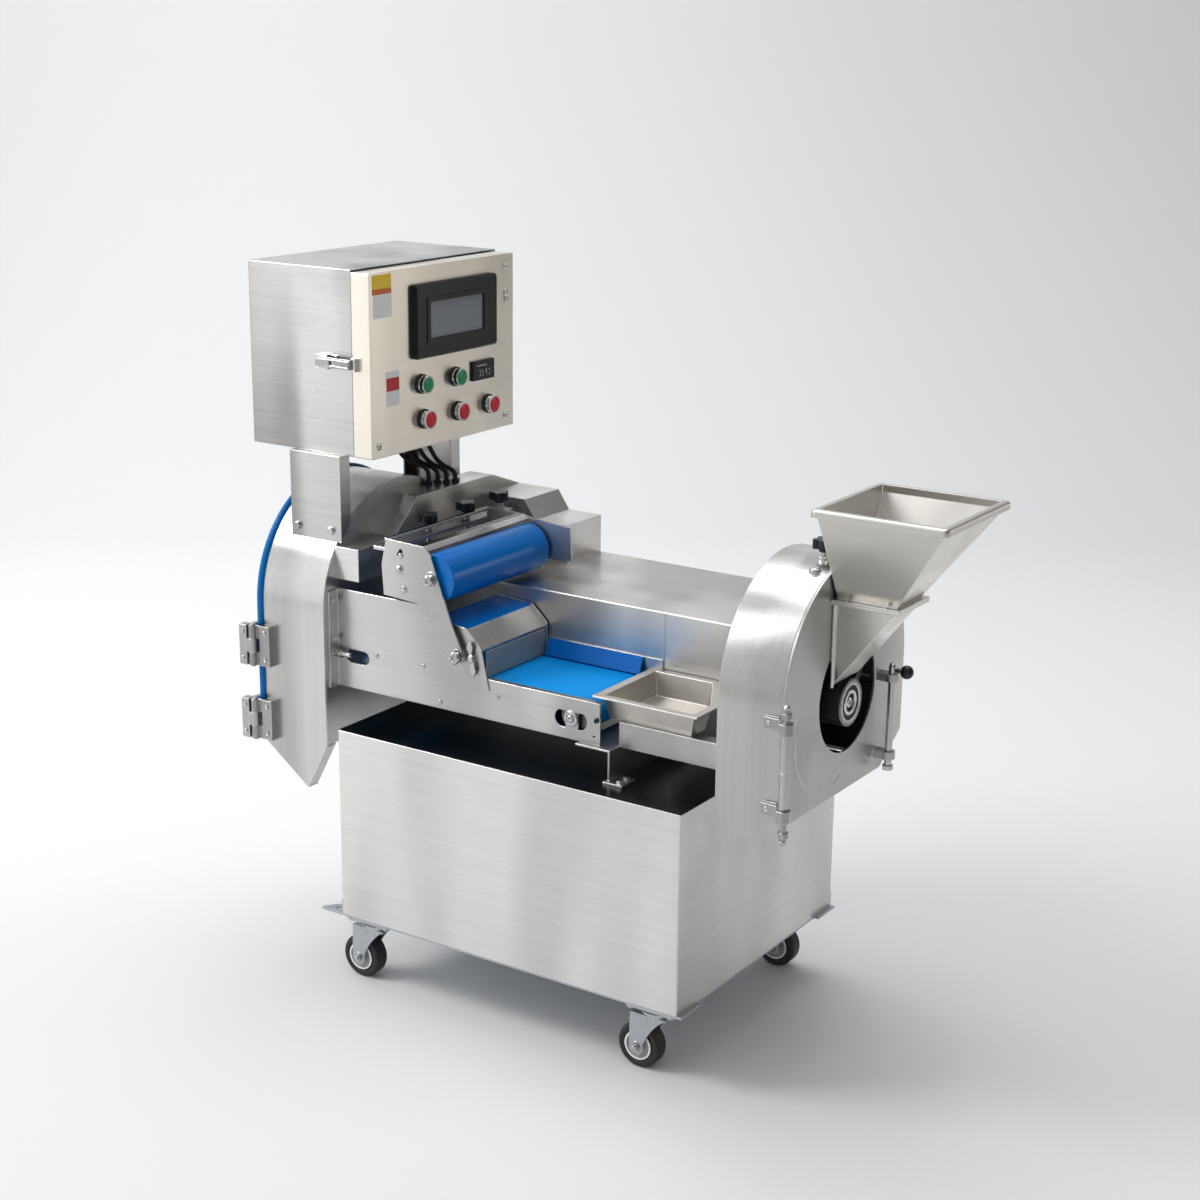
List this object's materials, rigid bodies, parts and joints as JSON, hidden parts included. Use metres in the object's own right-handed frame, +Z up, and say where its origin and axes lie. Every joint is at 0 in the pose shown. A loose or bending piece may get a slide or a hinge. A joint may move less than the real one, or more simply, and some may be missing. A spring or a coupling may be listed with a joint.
{
  "type": "vegetable cutting machine",
  "caption": "Mobile stainless vegetable cutter with a leafy head and belt feed on the left, a root slicing head with a hopper on the right and a control box above.",
  "frame": {"origin": "middle of the whole machine's footprint at floor level", "axes": "+X from the leafy head to the root head, +Y from the front to the back, +Z up"},
  "size_m": [1.287, 0.526, 1.221],
  "materials": {
    "cabinet_steel": "brushed",
    "box_steel": "fine brushed",
    "bright_steel": "satin",
    "forged_steel": "satin",
    "zinc_plate": "zinc plated",
    "caster_rubber": "matt",
    "blue_belt": "matt",
    "blue_roller": "smooth",
    "black_plastic": "matt",
    "panel_plastic": "matt",
    "green_cap": "gloss",
    "red_cap": "gloss",
    "black_rubber": "matt",
    "blue_seal": "satin",
    "motor_paint": "satin"
  },
  "bodies": {
    "machine": {"base_cabinet": "cabinet_steel", "base_plate": "bright_steel", "caster_plates": "zinc_plate", "control_box": "box_steel", "control_cables": "black_rubber", "control_posts": "box_steel", "conveyor_bed": "cabinet_steel", "conveyor_belt": "blue_belt", "conveyor_front_plate": "cabinet_steel", "drive_belts": "black_rubber", "drive_cover": "cabinet_steel", "drive_motors": "motor_paint", "feed_hood": "cabinet_steel", "infeed_guard": "cabinet_steel", "left_head_plate": "cabinet_steel", "left_head_shell": "cabinet_steel", "left_hinges": "forged_steel", "left_seal": "blue_seal", "right_head_plate": "cabinet_steel", "right_head_shell": "cabinet_steel", "right_hinge_rod": "forged_steel", "slicer_ring": "bright_steel", "spindle_bearings": "forged_steel", "support_leg": "bright_steel"},
    "fork_front_left": {"caster_fork_front_left": "zinc_plate"},
    "wheel_front_left": {"caster_wheel_front_left": "caster_rubber"},
    "fork_front_right": {"caster_fork_front_right": "zinc_plate"},
    "wheel_front_right": {"caster_wheel_front_right": "caster_rubber"},
    "fork_rear_left": {"caster_fork_rear_left": "zinc_plate"},
    "wheel_rear_left": {"caster_wheel_rear_left": "caster_rubber"},
    "fork_rear_right": {"caster_fork_rear_right": "zinc_plate"},
    "wheel_rear_right": {"caster_wheel_rear_right": "caster_rubber"},
    "drive_drum": {"drive_drum": "bright_steel"},
    "tail_drum": {"tail_drum": "bright_steel"},
    "infeed_flap": {"infeed_flap": "bright_steel"},
    "press": {"press_frame": "bright_steel"},
    "press_roller": {"press_roller": "blue_roller"},
    "clamp_knob_1": {"clamp_knob_1": "black_plastic"},
    "clamp_knob_2": {"clamp_knob_2": "black_plastic"},
    "clamp_knob_3": {"clamp_knob_3": "black_plastic"},
    "left_door": {"left_door": "cabinet_steel"},
    "blades": {"blade_spindle": "bright_steel", "crescent_blades": "bright_steel"},
    "blade_motor_pulley": {"blade_motor_pulley": "forged_steel"},
    "impeller": {"impeller": "bright_steel"},
    "slicer_motor_pulley": {"slicer_motor_pulley": "forged_steel"},
    "right_door": {"right_door": "cabinet_steel", "feed_chute": "bright_steel", "hopper": "bright_steel"},
    "lock_rod": {"lock_rod": "forged_steel"},
    "thickness_knob": {"thickness_knob": "black_plastic"},
    "control_door": {"control_door": "box_steel", "touch_panel": "panel_plastic"},
    "button_start_left": {"button_start_left": "green_cap"},
    "button_start_right": {"button_start_right": "green_cap"},
    "button_stop_left": {"button_stop_left": "red_cap"},
    "button_stop_right": {"button_stop_right": "red_cap"},
    "button_stop_belt": {"button_stop_belt": "red_cap"},
    "draw_latch": {"draw_latch": "bright_steel"},
    "catch_pan": {"catch_pan": "bright_steel"}
  },
  "joints": [
    {"name": "caster_swivel_front_left", "type": "hinge", "parent": "machine", "child": "fork_front_left", "pos_m": [-0.3435, -0.229, 0.1], "axis": [0, 0, 1], "continuous": true},
    {"name": "caster_roll_front_left", "type": "hinge", "parent": "fork_front_left", "child": "wheel_front_left", "pos_m": [-0.3735, -0.229, 0.038], "axis": [0, 1, 0], "continuous": true},
    {"name": "caster_swivel_front_right", "type": "hinge", "parent": "machine", "child": "fork_front_right", "pos_m": [0.2305, -0.229, 0.1], "axis": [0, 0, 1], "continuous": true},
    {"name": "caster_roll_front_right", "type": "hinge", "parent": "fork_front_right", "child": "wheel_front_right", "pos_m": [0.2005, -0.229, 0.038], "axis": [0, 1, 0], "continuous": true},
    {"name": "caster_swivel_rear_left", "type": "hinge", "parent": "machine", "child": "fork_rear_left", "pos_m": [-0.3435, 0.221, 0.1], "axis": [0, 0, 1], "continuous": true},
    {"name": "caster_roll_rear_left", "type": "hinge", "parent": "fork_rear_left", "child": "wheel_rear_left", "pos_m": [-0.3735, 0.221, 0.038], "axis": [0, 1, 0], "continuous": true},
    {"name": "caster_swivel_rear_right", "type": "hinge", "parent": "machine", "child": "fork_rear_right", "pos_m": [0.2305, 0.221, 0.1], "axis": [0, 0, 1], "continuous": true},
    {"name": "caster_roll_rear_right", "type": "hinge", "parent": "fork_rear_right", "child": "wheel_rear_right", "pos_m": [0.2005, 0.221, 0.038], "axis": [0, 1, 0], "continuous": true},
    {"name": "drive_drum_turn", "type": "hinge", "parent": "machine", "child": "drive_drum", "pos_m": [-0.3745, -0.103, 0.547], "axis": [0, 1, 0], "continuous": true},
    {"name": "tail_drum_turn", "type": "hinge", "parent": "machine", "child": "tail_drum", "pos_m": [0.0385, -0.103, 0.547], "axis": [0, 1, 0], "continuous": true},
    {"name": "infeed_flap_swing", "type": "hinge", "parent": "machine", "child": "infeed_flap", "pos_m": [-0.141, -0.103, 0.621], "axis": [0, 1, 0], "range_deg": [0, 75]},
    {"name": "press_tilt", "type": "hinge", "parent": "machine", "child": "press", "pos_m": [-0.1795, -0.073, 0.613], "axis": [0, 1, 0], "range_deg": [0, 25]},
    {"name": "press_roller_turn", "type": "hinge", "parent": "press", "child": "press_roller", "pos_m": [-0.2315, -0.073, 0.735], "axis": [0, 1, 0], "continuous": true},
    {"name": "clamp_knob_1_turn", "type": "hinge", "parent": "press", "child": "clamp_knob_1", "pos_m": [-0.3415, -0.08, 0.792], "axis": [0, 0, 1], "continuous": true},
    {"name": "clamp_knob_2_turn", "type": "hinge", "parent": "press", "child": "clamp_knob_2", "pos_m": [-0.3415, 0.027, 0.792], "axis": [0, 0, 1], "continuous": true},
    {"name": "clamp_knob_3_turn", "type": "hinge", "parent": "press", "child": "clamp_knob_3", "pos_m": [-0.3415, 0.125, 0.792], "axis": [0, 0, 1], "continuous": true},
    {"name": "left_door_open", "type": "hinge", "parent": "machine", "child": "left_door", "pos_m": [-0.5965, -0.249, 0.5], "axis": [0, 0, 1], "range_deg": [0, 100]},
    {"name": "blade_spin", "type": "hinge", "parent": "machine", "child": "blades", "pos_m": [-0.4565, -0.028, 0.64], "axis": [1, 0, 0], "continuous": true},
    {"name": "blade_motor_spin", "type": "hinge", "parent": "machine", "child": "blade_motor_pulley", "pos_m": [-0.4145, 0.167, 0.56], "axis": [1, 0, 0], "continuous": true},
    {"name": "impeller_spin", "type": "hinge", "parent": "machine", "child": "impeller", "pos_m": [0.3435, -0.028, 0.605], "axis": [1, 0, 0], "continuous": true},
    {"name": "slicer_motor_spin", "type": "hinge", "parent": "machine", "child": "slicer_motor_pulley", "pos_m": [0.2895, 0.167, 0.56], "axis": [1, 0, 0], "continuous": true},
    {"name": "right_door_open", "type": "hinge", "parent": "machine", "child": "right_door", "pos_m": [0.4505, -0.248, 0.55], "axis": [0, 0, -1], "range_deg": [0, 110]},
    {"name": "lock_rod_lift", "type": "slide", "parent": "right_door", "child": "lock_rod", "axis": [0, 0, 1], "range_m": [0, 0.04]},
    {"name": "thickness_knob_turn", "type": "hinge", "parent": "machine", "child": "thickness_knob", "pos_m": [0.4035, -0.059, 0.85], "axis": [0, 0, 1], "continuous": true},
    {"name": "control_door_open", "type": "hinge", "parent": "machine", "child": "control_door", "pos_m": [-0.4165, 0.227, 1.06], "axis": [0, 0, 1], "range_deg": [0, 110]},
    {"name": "button_start_left_press", "type": "slide", "parent": "control_door", "child": "button_start_left", "axis": [-1, 0, 0], "range_m": [0, 0.003], "stiffness_N_per_m": 300},
    {"name": "button_start_right_press", "type": "slide", "parent": "control_door", "child": "button_start_right", "axis": [-1, 0, 0], "range_m": [0, 0.003], "stiffness_N_per_m": 300},
    {"name": "button_stop_left_press", "type": "slide", "parent": "control_door", "child": "button_stop_left", "axis": [-1, 0, 0], "range_m": [0, 0.003], "stiffness_N_per_m": 300},
    {"name": "button_stop_right_press", "type": "slide", "parent": "control_door", "child": "button_stop_right", "axis": [-1, 0, 0], "range_m": [0, 0.003], "stiffness_N_per_m": 300},
    {"name": "button_stop_belt_press", "type": "slide", "parent": "control_door", "child": "button_stop_belt", "axis": [-1, 0, 0], "range_m": [0, 0.003], "stiffness_N_per_m": 300},
    {"name": "draw_latch_open", "type": "hinge", "parent": "machine", "child": "draw_latch", "pos_m": [-0.4805, -0.187, 1.067], "axis": [0, 0, -1], "range_deg": [0, 90]},
    {"name": "catch_pan_lift", "type": "slide", "parent": "machine", "child": "catch_pan", "axis": [0, 0, 1], "range_m": [0, 0.12]}
  ],
  "couplings": [
    {"joint": "tail_drum_turn", "follows": "drive_drum_turn", "ratio": 1},
    {"joint": "blade_motor_spin", "follows": "blade_spin", "ratio": 1},
    {"joint": "slicer_motor_spin", "follows": "impeller_spin", "ratio": 1}
  ]
}
